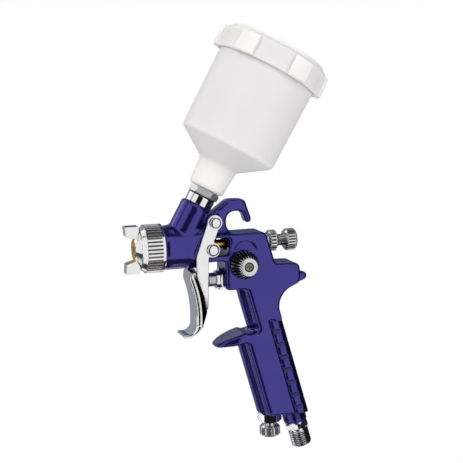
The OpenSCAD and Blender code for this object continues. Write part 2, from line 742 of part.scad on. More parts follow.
// The blade follows one wide hollow arc down its front and a tight one out to its tip
blade_bow = 73;
blade_bow_mid = [-93, -44.5];
blade_bow_up = 24;
blade_bow_down = 3.9;
blade_curl = 5.8;
blade_turn = 110;
blade_depth = 12;
blade_round = 1.7;
blade_spread = 1.1;
// The tip's arc lies a little inside the wide one and runs up into it
toe_inset = 0.2;
toe_lap = 12;
module trigger() color("gainsboro") difference() {
    union() {
        difference() {
            intersection() {
                across(-cheek_out, cheek_out) {
                    polygon(rounded(cheek_corners));
                    translate([pivot_x, pivot_z]) circle(lobe_r);
                    translate([stud_x, -stud_drop]) circle(lobe_r);
                }
                facing() polygon(rounded(yoke_front));
            }
            facing() polygon(rounded(yoke_gap));
        }
        trigger_blade();
        on_valve() rod(valve_pad_r, valve_pad_root, pad_face);
    }
    translate([pivot_x, 0, pivot_z]) to_near_side() rod(pivot_r + run_fit, -far, far);
    on_stud() rod(stud_screw_r + seat_fit, -far, far);
}
// A shape drawn as seen from the front, run through along the needle
module facing() rotate([90, 0, 90]) translate([0, 0, -far / 2]) linear_extrude(far) children();
// A ring of the blade's section, with its rounded front at the given radius
module blade_arc(half, front, from, sweep) rotate([90, 0, 0]) rotate(from)
    rotate_extrude(angle = sweep, $fn = 96) polygon(rounded(
        [[front, -half, blade_round], [front + blade_depth, -half - blade_spread, 0.2],
            [front + blade_depth, half + blade_spread, 0.2], [front, half, blade_round]]));
module trigger_blade() {
    trimmed() translate([blade_bow_mid.x, 0, blade_bow_mid.y])
        blade_arc(blade_half, blade_bow, -blade_bow_down, blade_bow_up + blade_bow_down);
    trimmed() translate([blade_bow_mid.x + (blade_bow - blade_curl) * cos(blade_bow_down), 0,
        blade_bow_mid.y - (blade_bow - blade_curl) * sin(blade_bow_down)])
        blade_arc(blade_half - toe_inset, blade_curl + toe_inset, -blade_turn, blade_turn + toe_lap);
}
module trimmed() intersection() {
    children();
    across(-far / 2, far / 2) polygon(rounded(blade_trim));
}

pin_head_r = 3.6;
pin_head_h = 2.1;
module trigger_pivot_pin() color("silver") translate([pivot_x, 0, pivot_z]) to_near_side() difference() {
    translate([0, 0, cheek_out + face_gap])
        domed_screw(pin_head_r, pin_head_h, pivot_r, 2 * cheek_out + 2 * face_gap);
    rod(pivot_screw_r + seat_fit, -far, -cheek_out + 8);
}
pivot_screw_r = 1.2;
module trigger_pivot_screw() color("silver") translate([pivot_x, 0, pivot_z]) mirror([0, 1, 0]) to_near_side()
    translate([0, 0, cheek_out + face_gap]) domed_screw(pin_head_r, pin_head_h, pivot_screw_r, 7);
module needle_stud() color("silver") difference() {
    on_stud() rod(stud_r, -cheek_gap, cheek_gap);
    along_x() rod(needle_r + 0.8, -far, far);
    for (side = [0, 1]) mirror([0, side, 0]) on_stud()
        rod(stud_screw_r + seat_fit, cheek_gap - stud_screw_len - 0.2, cheek_gap + 1);
}
stud_screw_len = 6;
stud_head_r = 3.9;
stud_head_h = 2.2;
module stud_screw() on_stud() translate([0, 0, cheek_out])
    domed_screw(stud_head_r, stud_head_h, stud_screw_r, cheek_t + stud_screw_len);
module stud_screw_near() color("silver") stud_screw();
module stud_screw_far() color("silver") mirror([0, 1, 0]) stud_screw();

gland_af = 13;
gland_nose_r = 5.7;
gland_nose_len = 2.1;
gland_cage_r = 3.4;
gland_port_r = 0.9;
gland_port_at = 8.6;
module air_valve_gland() color("silver") on_valve() difference() {
    union() {
        rod(gland_nose_r, gland_front, block_front);
        nut(gland_af, gland_front + gland_nose_len, block_front);
        rod(gland_thread_r, block_front - 0.01, gland_shoulder);
        rod(gland_cage_r, 0, gland_back);
        rod(chamber_r - seat_fit, gland_back - 2, gland_back);
    }
    rod(plunger_r + run_fit, gland_front - 1, plunger_stop);
    rod(stem_r + run_fit, 0, gland_back + 1);
    rod(stem_r + 1 + seat_fit, gland_shoulder + 0.5, gland_back + 1);
    for (a = [0, 90]) rotate(a) translate([0, 0, gland_port_at])
        rotate([90, 0, 0]) rod(gland_port_r, -far, far);
}
plunger_dome = 14;
poppet_r = 4.2;
module air_valve_stem() color("silver") on_valve() union() {
    intersection() {
        rod(plunger_r, stem_front, plunger_back);
        translate([0, 0, stem_front + plunger_dome]) sphere(plunger_dome, $fn = 96);
    }
    rod(stem_r, plunger_back - 1, poppet_front + poppet_len);
    rod(poppet_r, poppet_front, poppet_front + poppet_len);
}
module air_valve_packing() color("white") on_valve()
    tube(stem_r + 1, stem_r + run_fit, gland_shoulder + 0.5, gland_shoulder + 1.9);
module air_valve_seal() color("black") on_valve()
    tube(poppet_r - 0.2, stem_r + seat_fit, gland_back + face_gap, poppet_front);
valve_coil_r = 3.2;
valve_coil_wire = 0.4;
valve_coil_turns = 6;
module air_valve_spring() color("gray") on_valve()
    coil(valve_coil_r, valve_coil_wire,
        poppet_front + poppet_len + 0.05, chamber_back - 0.05, valve_coil_turns);

module fan_valve_bush() color("silver") on_fan() difference() {
    union() {
        rod(fan_bush_r, fan_bush_in + 0.1, body_half + 0.5);
        rod(fan_flange_r, body_half, body_half + fan_flange_t);
    }
    rod(fan_spindle_r + run_fit, 0, far);
}
module fan_valve_spindle() color("silver") on_fan() difference() {
    rotate_extrude() polygon([[0, 0], [0.5, 0], [fan_spindle_r, 3.5],
        [fan_spindle_r, fan_face - fan_screw_sink], [0, fan_face - fan_screw_sink]]);
    rod(fan_screw_shank_r + seat_fit, fan_face - fan_screw_sink - fan_screw_shank - 0.4, far);
}
module fan_knob() color("silver") on_fan() difference() {
    intersection() {
        ridged(fan_skirt_r, fan_ridges, fan_groove, fan_base, fan_face);
        rotate_extrude() polygon([
            [0, fan_base], [fan_skirt_r - 0.5, fan_base], [fan_skirt_r + 0.1, fan_base + 0.6],
            [fan_skirt_r + 0.1, fan_base + 2.8], [fan_face_r + 0.6, fan_face - 0.6],
            [fan_face_r, fan_face], [0, fan_face]]);
    }
    rod(fan_spindle_r + seat_fit, 0, fan_face - fan_screw_sink);
    rod(fan_screw_r + 0.25, fan_face - fan_screw_sink, far);
    // Index mark on the face
    rotate(54) translate([fan_face_r * 0.75, 0, fan_face - 0.3]) cylinder(r = 0.45, h = 1);
}
module fan_knob_screw() color("silver") on_fan() difference() {
    translate([0, 0, fan_face - fan_screw_sink]) union() {
        rod(fan_screw_r, 0, fan_screw_head);
        rod(fan_screw_shank_r, -fan_screw_shank, 0.5);
    }
    for (a = [0, 90]) rotate(a) translate([-fan_slot / 2, -0.3, fan_face - 1.2]) cube([fan_slot, 0.6, 2]);
}

module air_inlet_nipple() color("silver") on_inlet() difference() {
    union() {
        rod(inlet_seat_r, boss_a - inlet_seat_len, boss_a + 1);
        nut(nut_af, boss_a, boss_a + hex_len, inlet_turn);
        rod(inlet_r - 0.7, boss_a + hex_len - 0.1, boss_a + hex_len + 1.4);
        rod(inlet_r, boss_a + hex_len + 1.3, inlet_end_a);
    }
    rod(inlet_bore, 0, far);
}

control_out = foot_z - control_hex_len;
control_grip = 5;
control_point = 3.5;
control_seat = control_top - 5.5;
module air_control_bush() color("silver") on_control() difference() {
    union() {
        rod(control_thread_r, foot_z - 0.5, foot_z + control_thread_len);
        nut(control_af, control_out, foot_z, control_turn);
    }
    rod(control_spindle_r + run_fit, -far, foot_z + 20);
    rod(control_seal_r + seat_fit, control_out - 1, control_out + control_seal_in);
}
control_seal_r = 3.4;
control_seal_in = 1.6;
module air_control_seal() color("black") on_control()
    tube(control_seal_r, control_spindle_r + run_fit, control_out + 0.2, control_out + control_seal_in);
module air_control_spindle() color("silver") on_control() rotate_extrude()
    polygon([[0, control_knob_top - control_grip], [control_spindle_r, control_knob_top - control_grip],
        [control_spindle_r, control_seat - control_point], [0.6, control_seat], [0, control_seat]]);
control_knob_foot = control_knob_top - control_knob_len;
control_collar_r = 4.4;
control_collar = 1.5;
module air_control_knob() color("silver") on_control() difference() {
    union() {
        ridged_knob(control_knob_r, control_ridges, 0.45, control_knob_foot, control_knob_top, 1.2);
        rod(control_collar_r, control_knob_foot + 2, control_knob_top + control_collar);
    }
    rod(control_spindle_r + seat_fit, control_knob_top - control_grip, far);
    rod(control_knob_r - 2.4, control_knob_foot - 1, control_knob_foot + 0.5);
}

module cup_socket() color("silver") on_cup() difference() {
    union() {
        rod(socket_thread_r, tube_len - socket_thread_len, tube_len + 1);
        rotate_extrude() polygon([[0, tube_len], [socket_r - 0.4, tube_len], [socket_r, tube_len + 0.4],
            [socket_r, tube_len + socket_len - 0.5], [socket_r - 0.5, tube_len + socket_len],
            [0, tube_len + socket_len]]);
    }
    rod(paint_r, 0, far);
    rod(plug_r + run_fit, union_foot - plug_len - 0.2, far);
}
module cup_seal() color("black") on_cup()
    tube(socket_r + 0.05, plug_r + 0.3, tube_len + socket_len, union_foot);
module cup_union() color("silver") on_cup() difference() {
    union() {
        rod(plug_r, union_foot - plug_len, union_foot + 1);
        nut(union_af, union_foot, union_foot + union_hex, union_turn);
        rod(spigot_r, union_foot + union_hex - 1, spigot_top);
    }
    rod(paint_r, 0, far);
}

cup_outside = [[neck_r - 1.2, neck_foot, 0.2], [neck_r, neck_foot + 1.2, 1], [neck_top_r, shoulder_foot, 3],
    [cup_r, shoulder_top, 4], [cup_rim_r, cup_rim, 0.5]];
cup_inside = [[cup_rim_r - cup_wall, cup_rim, 0.5], [cup_r - cup_wall, shoulder_top + cup_wall, 3],
    [neck_top_r - cup_wall, shoulder_foot + cup_wall, 2], [neck_top_r - cup_wall - 1, spigot_top + 0.4, 0.4],
    [spigot_r + seat_fit, spigot_top + 0.4, 0.1], [spigot_r + seat_fit, neck_foot, 0.1]];
module cup() color("whitesmoke", 0.9) on_cup()
    rotate_extrude($fn = 96) polygon(rounded(concat(cup_outside, cup_inside), 4));

module cup_lid() color("whitesmoke", 0.9) on_cup() difference() {
    union() {
        rotate_extrude($fn = 96) polygon([[0, lid_foot], [lid_r - 0.6, lid_foot], [lid_r, lid_foot + 0.6],
            [lid_r, lid_top - 4], [lid_r - 1, lid_top - 2.6], [lid_r - 2.6, lid_top - 2.4],
            [lid_r - 3.2, lid_top - 0.6], [lid_r - 3.8, lid_top], [lid_r - 5.4, lid_top],
            [lid_r - 5.8, lid_top - 1.4], [0, lid_top - 1.4]]);
        for (i = [0:lid_lugs - 1]) rotate(lug_turn + 360 * i / lid_lugs) lid_lug();
    }
    rod(lid_in_r, lid_foot - 1, cup_rim + 0.1);
    rod(lid_vent_r, lid_foot, far);
}
// One grip lug on the lid's rim
module lid_lug() intersection() {
    rotate_extrude($fn = 96) polygon([
        [lid_r - 1.5, lid_foot + 0.1], [lug_r - 0.7, lid_foot + 0.1], [lug_r, lid_foot + 0.9],
        [lug_r - 0.6, lid_foot + lug_h - 0.8], [lug_r - 1.6, lid_foot + lug_h],
        [lid_r - 1.5, lid_foot + lug_h]]);
    rotate(-10) linear_extrude(far) polygon([[0, 0], [far, 0], [far * cos(20), far * sin(20)]]);
}

finished() gun_body();
finished() retaining_ring();
finished() air_cap();
finished() cap_snap_ring();
finished() air_baffle();
finished() fluid_nozzle();
finished() fluid_needle();
finished() needle_collar();
finished() needle_packing();
finished() packing_nut();
finished() needle_spring();
finished() fluid_sleeve();
finished() fluid_lock_nut();
finished() fluid_knob();
finished() trigger();
finished() trigger_pivot_pin();
finished() trigger_pivot_screw();
finished() needle_stud();
finished() stud_screw_near();
finished() stud_screw_far();
finished() air_valve_gland();
finished() air_valve_stem();
finished() air_valve_packing();
finished() air_valve_seal();
finished() air_valve_spring();
finished() fan_valve_bush();
finished() fan_valve_spindle();
finished() fan_knob();
finished() fan_knob_screw();
finished() air_inlet_nipple();
finished() air_control_bush();
finished() air_control_spindle();
finished() air_control_knob();
finished() air_control_seal();
finished() cup_socket();
finished() cup_seal();
finished() cup_union();
finished() cup();
finished() cup_lid();
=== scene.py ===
# %% [markdown]
# # A small gravity-feed spray gun
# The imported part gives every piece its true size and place. This notebook dresses it: a camera where the
# photographer stood, a white studio, finishes for enamel, chrome, brass and milky plastic, and the fine forms
# that a casting or a thread has and a plain solid lacks.

import json
import math

import bpy
import numpy as np
from mathutils import Matrix, Vector


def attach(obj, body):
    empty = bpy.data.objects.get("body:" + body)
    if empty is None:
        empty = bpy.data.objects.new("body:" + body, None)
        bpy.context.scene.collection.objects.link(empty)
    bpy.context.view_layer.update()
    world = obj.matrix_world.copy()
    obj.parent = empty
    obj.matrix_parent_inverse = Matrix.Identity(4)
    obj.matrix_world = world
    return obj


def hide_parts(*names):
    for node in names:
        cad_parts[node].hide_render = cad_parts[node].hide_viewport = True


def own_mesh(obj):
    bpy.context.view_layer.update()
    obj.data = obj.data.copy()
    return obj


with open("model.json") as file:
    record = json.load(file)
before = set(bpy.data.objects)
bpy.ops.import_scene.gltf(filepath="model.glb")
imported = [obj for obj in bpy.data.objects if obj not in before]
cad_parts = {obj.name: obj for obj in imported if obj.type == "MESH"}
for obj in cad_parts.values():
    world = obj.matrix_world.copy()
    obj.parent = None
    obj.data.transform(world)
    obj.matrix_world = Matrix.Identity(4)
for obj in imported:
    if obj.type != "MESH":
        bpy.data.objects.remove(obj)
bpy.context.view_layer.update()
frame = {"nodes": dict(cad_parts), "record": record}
nodes = frame["nodes"]
MM = 0.001
# The needle's collar station in the row frame: the shapes below are measured from it, in millimetres
COLLAR = Vector((-50.6187, 0, 135.2060))


# %% [markdown]
# ## Camera
# The gun is seen a little from its front and a little from above, and the picture leans by a degree and a half.
# A long lens at 82 cm gives the slight perspective of the ring and the cup's lid. The frame is square.

# %% Camera
AZIMUTH, ELEVATION, LEAN = math.radians(-16), math.radians(8), math.radians(1.5)
DISTANCE, LENS, SENSOR = 0.824, 101.7, 36
aim = Vector((-44.19, 0, 142.44)) * MM

flat_reach = math.cos(ELEVATION)
towards = Vector((math.sin(AZIMUTH) * flat_reach, -math.cos(AZIMUTH) * flat_reach, math.sin(ELEVATION)))
level = Vector((math.cos(AZIMUTH), math.sin(AZIMUTH), 0))
rise = towards.cross(level)
right = level * math.cos(LEAN) - rise * math.sin(LEAN)
up = level * math.sin(LEAN) + rise * math.cos(LEAN)
camera = bpy.data.objects.new("camera", bpy.data.cameras.new("camera"))
bpy.context.scene.collection.objects.link(camera)
camera.data.lens = LENS
camera.data.sensor_width = SENSOR
turn = Matrix((right, up, towards)).transposed().to_4x4()
camera.matrix_world = Matrix.Translation(aim + towards * DISTANCE) @ turn
bpy.context.scene.camera = camera
bpy.context.scene.view_settings.view_transform = "Standard"
print("camera at", [round(v, 4) for v in camera.location])


# %% [markdown]
# ## A way to write finishes
# A material is a net of nodes. Drawing it as sums reads better, so one class wraps a socket and makes a Math
# node for each operator, and another holds the material and adds every other node by a single method.

# %% Sockets as sums
class Value:
    """One output socket of a finish that can be used in sums."""

    def __init__(self, finish, socket):
        self.finish = finish
        self.socket = socket

    def _sum(self, operation, first, second):
        return self.finish.add("ShaderNodeMath", {"operation": operation}, {0: first, 1: second})

    def __add__(self, other):
        return self._sum("ADD", self, other)

    def __sub__(self, other):
        return self._sum("SUBTRACT", self, other)

    def __rsub__(self, other):
        return self._sum("SUBTRACT", other, self)

    def __mul__(self, other):
        return self._sum("MULTIPLY", self, other)

    def __truediv__(self, other):
        return self._sum("DIVIDE", self, other)

    def __pow__(self, other):
        return self._sum("POWER", self, other)

    def __lt__(self, other):
        return self._sum("LESS_THAN", self, other)

    def __gt__(self, other):
        return self._sum("GREATER_THAN", self, other)

    __radd__ = __add__
    __rmul__ = __mul__

    def output(self, name):
        return Value(self.finish, self.socket.node.outputs[name])


class Finish:
    """A node tree, and the one method that adds a node to it."""

    def __init__(self, name, tree=None):
        if tree is None:
            self.material = bpy.data.materials.new(name)
            self.material.use_nodes = True
            tree = self.material.node_tree
        self.tree = tree
        self.tree.nodes.clear()

    def add(self, kind, settings=None, sockets=None, output=0):
        node = self.tree.nodes.new(kind)
        for key, value in (settings or {}).items():
            setattr(node, key, value)
        for key, value in (sockets or {}).items():
            if isinstance(value, Value):
                self.tree.links.new(value.socket, node.inputs[key])
            else:
                node.inputs[key].default_value = value
        return Value(self, node.outputs[output] if len(node.outputs) else None)

    def place(self):
        """A point's place on the part, in metres."""
        return self.add("ShaderNodeTexCoord", output="Object")

    def noise(self, per_metre, detail=2.0):
        sockets = {"Vector": self.place(), "Scale": per_metre, "Detail": detail}
        return self.add("ShaderNodeTexNoise", None, sockets, "Fac")

    def mix(self, share, first, second):
        return self.add("ShaderNodeMix", {"data_type": "RGBA"}, {0: share, 6: first, 7: second}, 2)

    def worn(self, colour, share=0.88):
        """A cloud of wear, and a metal's colour that darkens with it."""
        wear = self.noise(160.0, 4.0)
        return wear, self.mix(wear, colour, darker(colour, share))

    def part(self, axis):
        """One coordinate in millimetres from the needle's collar."""
        ends = {0: self.place(), 1: COLLAR * MM}
        apart = self.add("ShaderNodeVectorMath", {"operation": "SUBTRACT"}, ends, "Vector")
        scaled = self.add("ShaderNodeVectorMath", {"operation": "SCALE"}, {0: apart, "Scale": 1 / MM}, "Vector")
        return self.add("ShaderNodeSeparateXYZ", None, {0: scaled}, axis)

    def between(self, axis, low, high):
        place = self.part(axis)
        return (place > low) * (place < high)

    def radius(self, axis, centre):
        """Millimetres from a line through a centre along X, Y or Z."""
        first, second = [k for k in "XYZ" if k != axis]
        u = self.part(first) - centre["XYZ".index(first)]
        v = self.part(second) - centre["XYZ".index(second)]
        return (u * u + v * v) ** 0.5

    def around(self, axis, centre):
        """The share of a turn round a line along X, Y or Z."""
        first, second = [k for k in "XYZ" if k != axis]
        u = self.part(first) - centre["XYZ".index(first)]
        v = self.part(second) - centre["XYZ".index(second)]
        return self.add("ShaderNodeMath", {"operation": "ARCTAN2"}, {0: v, 1: u}) / (2 * math.pi)

    def saw(self, value):
        """0 in the middle of each whole step of a value and 1 at its ends."""
        part = self.add("ShaderNodeMath", {"operation": "FRACT"}, {0: value})
        return self.size_of(part - 0.5) * 2

    def size_of(self, value):
        """A value without its sign."""
        return self.add("ShaderNodeMath", {"operation": "ABSOLUTE"}, {0: value})

    def larger(self, first, second):
        """The larger of two values."""
        return self.add("ShaderNodeMath", {"operation": "MAXIMUM"}, {0: first, 1: second})

    def up_axis(self, direction):
        """Millimetres up an axis through the origin, and away from it."""
        point = self.place()
        along = self.add("ShaderNodeVectorMath", {"operation": "DOT_PRODUCT"}, {0: point, 1: direction}, "Value")
        up = along / MM
        far = self.add("ShaderNodeVectorMath", {"operation": "LENGTH"}, {0: point}, "Value") / MM
        return up, (far * far - up * up) ** 0.5

    def ramp(self, value, low, high, at_low, at_high):
        sockets = {0: value, 1: low, 2: high, 3: at_low, 4: at_high}
        return self.add("ShaderNodeMapRange", {"clamp": True}, sockets)

    def broken_edge(self, millimetres=0.2):
        """A normal that turns softly over the edges."""
        return self.add("ShaderNodeBevel", {"samples": 4}, {"Radius": millimetres * MM})

    def bump(self, height, metres, strength=1.0, over=None):
        sockets = {"Height": height, "Distance": metres, "Strength": strength}
        if over is not None:
            sockets["Normal"] = over
        return self.add("ShaderNodeBump", None, sockets)

    def surface(self, **sockets):
        named = {key.replace("_", " ").title().replace("Ior", "IOR"): value for key, value in sockets.items()}
        shader = self.add("ShaderNodeBsdfPrincipled", None, named)
        self.add("ShaderNodeOutputMaterial", None, {"Surface": shader})
        return self.material


def rgb(red, green, blue):
    """A colour as a picture shows it, from 0 to 255, as the linear light that a shader takes."""
    parts = [c / 255 for c in (red, green, blue)]
    return tuple(c / 12.92 if c <= 0.04045 else ((c + 0.055) / 1.055) ** 2.4 for c in parts) + (1.0,)


def darker(colour, share):
    return tuple(c * share for c in colour[:3]) + (1.0,)


print("one class for sums, one for finishes")


# %% [markdown]
# ## Studio
# The photograph is a cut-out on white. Rays that the camera, a mirror or a clear surface sends out find plain
# white, while the light that falls on the part comes from three soft lamps. Polished metal doesn't mirror the
# lamps themselves, or lacquer and chrome would carry three square glints. The floor is white paper that keeps a
# faint shadow near the gun and fades into the background further out.

# %% White room
WHITE = (1.0, 1.0, 1.0, 1.0)
FLOOR_Z, FLOOR_HALF = -0.03, 3.0


def seen_rays(net):
    """1 for the rays that should find the plain white background."""
    path = net.add("ShaderNodeLightPath")
    return path.output("Is Camera Ray") + path.output("Is Glossy Ray") + path.output("Is Transmission Ray")


def studio_world(fill):
    world = bpy.data.worlds.new("studio")
    bpy.context.scene.world = world
    world.use_nodes = True
    sky = Finish("studio", world.node_tree)
    soft = sky.add("ShaderNodeBackground", None, {"Color": WHITE, "Strength": fill})
    plain = sky.add("ShaderNodeBackground", None, {"Color": WHITE, "Strength": 1.0})
    both = sky.add("ShaderNodeMixShader", None, {0: seen_rays(sky), 1: soft, 2: plain})
    sky.add("ShaderNodeOutputWorld", None, {"Surface": both})


def floor_finish(shade, reach):
    """White paper whose shadow shows near the gun only."""
    paper = Finish("white_paper")
    apart = paper.add("ShaderNodeVectorMath", {"operation": "LENGTH"}, {0: paper.place()}, "Value")
    fade = {0: apart, 1: 0.0, 2: reach, 3: shade, 4: 0.0}
    near = paper.add("ShaderNodeMapRange", {"interpolation_type": "SMOOTHSTEP"}, fade)
    matte = paper.add("ShaderNodeBsdfDiffuse", None, {"Color": (0.9, 0.9, 0.9, 1.0)})
    white = paper.add("ShaderNodeEmission", None, {"Color": WHITE, "Strength": 1.0})
    both = paper.add("ShaderNodeMixShader", None, {0: seen_rays(paper) * (1 - near), 1: matte, 2: white})
    paper.add("ShaderNodeOutputMaterial", None, {"Surface": both})
    return paper.material


def heading(azimuth, elevation):
    """The way from the gun, by degrees round it and up: 0, 0 looks out from its near side."""
    a, e = math.radians(azimuth), math.radians(elevation)
    return Vector((math.sin(a) * math.cos(e), -math.cos(a) * math.cos(e), math.sin(e)))


def lamp(name, azimuth, elevation, distance, size, watts):
    """A square soft lamp that faces the gun, and that polished metal doesn't mirror."""
    way = heading(azimuth, elevation)
    light = bpy.data.lights.new(name, "AREA")
    light.size = size
    light.energy = watts
    holder = bpy.data.objects.new(name, light)
    facing = way.to_track_quat("Z", "Y").to_matrix().to_4x4()
    holder.matrix_world = Matrix.Translation(aim + way * distance) @ facing
    holder.visible_glossy = False
    bpy.context.scene.collection.objects.link(holder)


def staged(name, mesh, finish):
    mesh.materials.append(finish)
    thing = bpy.data.objects.new(name, mesh)
    bpy.context.scene.collection.objects.link(thing)
    return thing


paper_sheet = bpy.data.meshes.new("floor")
corners = [(x * FLOOR_HALF, y * FLOOR_HALF, FLOOR_Z) for x, y in ((-1, -1), (1, -1), (1, 1), (-1, 1))]
paper_sheet.from_pydata(corners, [], [(0, 1, 2, 3)])
floor = staged("floor", paper_sheet, floor_finish(shade=0.10, reach=0.7))
floor.visible_glossy = False
studio_world(fill=0.62)
lamp("key", azimuth=-48, elevation=46, distance=1.3, size=0.9, watts=8.6)
lamp("fill", azimuth=38, elevation=12, distance=1.4, size=1.0, watts=6.6)
lamp("back", azimuth=165, elevation=50, distance=1.3, size=0.7, watts=6.0)
print("white world, floor, 3 lamps")


# %% [markdown]
# ## Dark cards
# Polished metal only looks like metal when it has something dark to show. A photographer hangs black cards
# round the object; here they are patches of a large ball, and only reflections see them. The ring's stripes in
# the photograph tell where the black ones hung: overhead, below, behind the camera, down the right side and in
# one thin strip on the left. Two grey cards stand behind the gun and two more low on the left, for the metal
# that leans away from the camera. One narrow strip on the far left is brighter than white, for the light line
# along metal edges.

# %% Dark cards
CARD_DISTANCE, CARD_STEP = 1.7, 6


def card(name, sides, heights, shade):
    """A curved card between two azimuths and two elevations."""
    finish = Finish(name)
    glow = finish.add("ShaderNodeEmission", None, {"Color": shade + (1.0,), "Strength": 1.0})
    finish.add("ShaderNodeOutputMaterial", None, {"Surface": glow})
    across = max(2, int(abs(sides[1] - sides[0]) / CARD_STEP))
    along = max(2, int(abs(heights[1] - heights[0]) / CARD_STEP))
    points = [aim + heading(a, e) * CARD_DISTANCE
              for e in np.linspace(*heights, along + 1) for a in np.linspace(*sides, across + 1)]
    wide = across + 1
    faces = [(i * wide + k, i * wide + k + 1, (i + 1) * wide + k + 1, (i + 1) * wide + k)
             for i in range(along) for k in range(across)]
    mesh = bpy.data.meshes.new(name)
    mesh.from_pydata([tuple(p) for p in points], [], faces)
    patch = staged(name, mesh, finish.material)
    patch.visible_camera = False
    patch.visible_diffuse = False
    patch.visible_transmission = False
    patch.visible_shadow = False


BLACK = (0.012, 0.012, 0.014)
card("card_camera", (-36, 2), (-40, 34), BLACK)
card("card_right", (44, 140), (-40, 58), BLACK)
card("card_strip", (-87, -79), (-40, 58), BLACK)
card("card_above", (-180, 180), (58, 89), (0.03, 0.03, 0.035))
card("card_below", (-180, 180), (-89, -56), (0.06, 0.04, 0.04))
card("card_back_right", (140, 172), (-40, 58), (0.10, 0.12, 0.20))
card("card_back_left", (172, 215), (-40, 58), (0.32, 0.34, 0.38))
card("card_low_left", (-112, -88), (-56, -14), (0.035, 0.06, 0.065))
card("card_far_left", (-150, -112), (-56, -14), (0.33, 0.36, 0.43))
card("light_strip", (-131, -123), (-40, 58), (2.6, 2.6, 2.7))
print("9 cards and a light strip at", CARD_DISTANCE, "m")


# %% [markdown]
# ## Finishes
# The body is die-cast and sprayed with a deep violet-blue lacquer over bright metal: a gloss coat over a
# slightly metallic colour, with the faint ripple of sprayed lacquer. Painted shade darkens it in the needle's
# window and in the recessed band round the grip's pads. The fittings are polished chrome, with painted shade on
# the flanks of the trigger's blade. The knobs are a softer nickel, the needle's collar and the cap's face brass.
# The cup is milky moulded plastic.

# %% Lacquer and metals
CHROME, NICKEL, BRASS = rgb(236, 236, 237), rgb(214, 215, 214), rgb(226, 178, 58)
RAKE = math.radians(15)
GRIP_HALF, BAND_AT, BAND_TOP, BAND_FOOT = 11.74, 12.3, 54.0, 124.5
WINDOW = {"X": (-16.2, 1.4), "Z": (-6.2, 5.0), "Y": (-11.2, 11.2)}
ROD_PITCH = 0.8
BLADE_MID, BLADE_BOW, BLADE_HALF, BLADE_SPREAD = (-93.0, -44.5), 73.0, 9.7, 0.092
FLANK_FROM, FLANK_TOP = 3.2, -17.0


def violet_enamel():
    """Sprayed lacquer, with painted shade inside the needle's window and in the band round the grip's pads."""
    f = Finish("violet_enamel")
    depth = f.noise(70.0)
    ripple = f.noise(900.0, 1.0)
    swell = f.bump(f.noise(38.0, 0.0), 0.0005)
    x, z = f.part("X"), f.part("Z")
    behind = x * math.cos(RAKE) + z * math.sin(RAKE)
    below = x * math.sin(RAKE) - z * math.cos(RAKE)
    in_band = (behind > BAND_AT) * f.ramp(below, BAND_TOP, BAND_TOP + 1.0, 0.0, 1.0) * (below < BAND_FOOT)
    # painted shade: the band's floor between the pads is darkened
    recess_shade = in_band * f.ramp(f.size_of(f.part("Y")), GRIP_HALF - 0.7, GRIP_HALF - 0.1, 0.7, 0.0)
    colour = f.mix(depth, rgb(46, 41, 124), rgb(55, 49, 135))
    colour = f.mix(recess_shade, colour, rgb(24, 20, 60))
    # painted shade: the inside of the needle's window is darkened, and its coat is thinner
    inside = f.between("X", *WINDOW["X"]) * f.between("Z", *WINDOW["Z"]) * f.between("Y", *WINDOW["Y"])
    return f.surface(base_color=f.mix(inside, colour, rgb(24, 20, 30)), metallic=0.85,
                     roughness=0.16 + 0.08 * ripple, coat_weight=0.5 - 0.4 * inside, coat_roughness=0.03,
                     normal=f.bump(ripple, 0.00002, 0.3, swell))


def bright_metal(name, colour, roughness, spread, ripple_depth):
    """Plated metal with softly broken edges, faint wear and a faint ripple."""
    f = Finish(name)
    wear, clean = f.worn(colour)
    ripple = f.noise(1500.0, 2.0)
    return f.surface(base_color=clean, metallic=1.0, roughness=roughness + spread * wear,
                     normal=f.bump(ripple, ripple_depth, 0.4, f.broken_edge()))


def knurled_metal(name, colour, roughness, axis, centre, land, band, thread=None, groove_shade=rgb(46, 45, 44)):
    """Plated metal with straight grooves: below the land in the ridged band, painted shade darkens them. It may
    carry a screw thread next to the band, drawn by bump, with painted shade in its roots."""
    f = Finish(name)
    wear, clean = f.worn(colour, 0.86)
    # painted shade in the grooves below the land
    recess_shade = f.ramp(f.radius(axis, centre), land - 0.42, land - 0.12, 1.0, 0.0) * f.between(axis, *band)
    rod = 0.0
    if thread:
        rod = f.saw(f.part(axis) / ROD_PITCH + f.around(axis, centre)) * f.between(axis, *thread)
    # the colour given for the grooves is painted shade, in the grooves and in the thread's roots
    return f.surface(base_color=f.mix(recess_shade + 0.8 * rod, clean, groove_shade), metallic=1.0,
                     roughness=roughness + 0.1 * wear + 0.12 * recess_shade,
                     normal=f.bump(wear * 0.03 - rod, 0.0003, 0.6, f.broken_edge(0.15)))


def domed_head(name, centre, inner, outer):
    """A plated screw head across the gun with a turned groove round its dome, drawn by bump and painted shade."""
    f = Finish(name)
    wear, clean = f.worn(CHROME)
    out = f.radius("Y", centre)
    groove = f.ramp(out, inner, inner + 0.1, 0.0, 1.0) * f.ramp(out, outer - 0.1, outer, 1.0, 0.0)
    # painted shade darkens the groove round the dome
    return f.surface(base_color=f.mix(groove, clean, rgb(38, 38, 40)), metallic=1.0,
                     roughness=0.07 + 0.05 * wear + 0.3 * groove,
                     normal=f.bump(1 - groove, 0.0002, 0.8, f.broken_edge()))


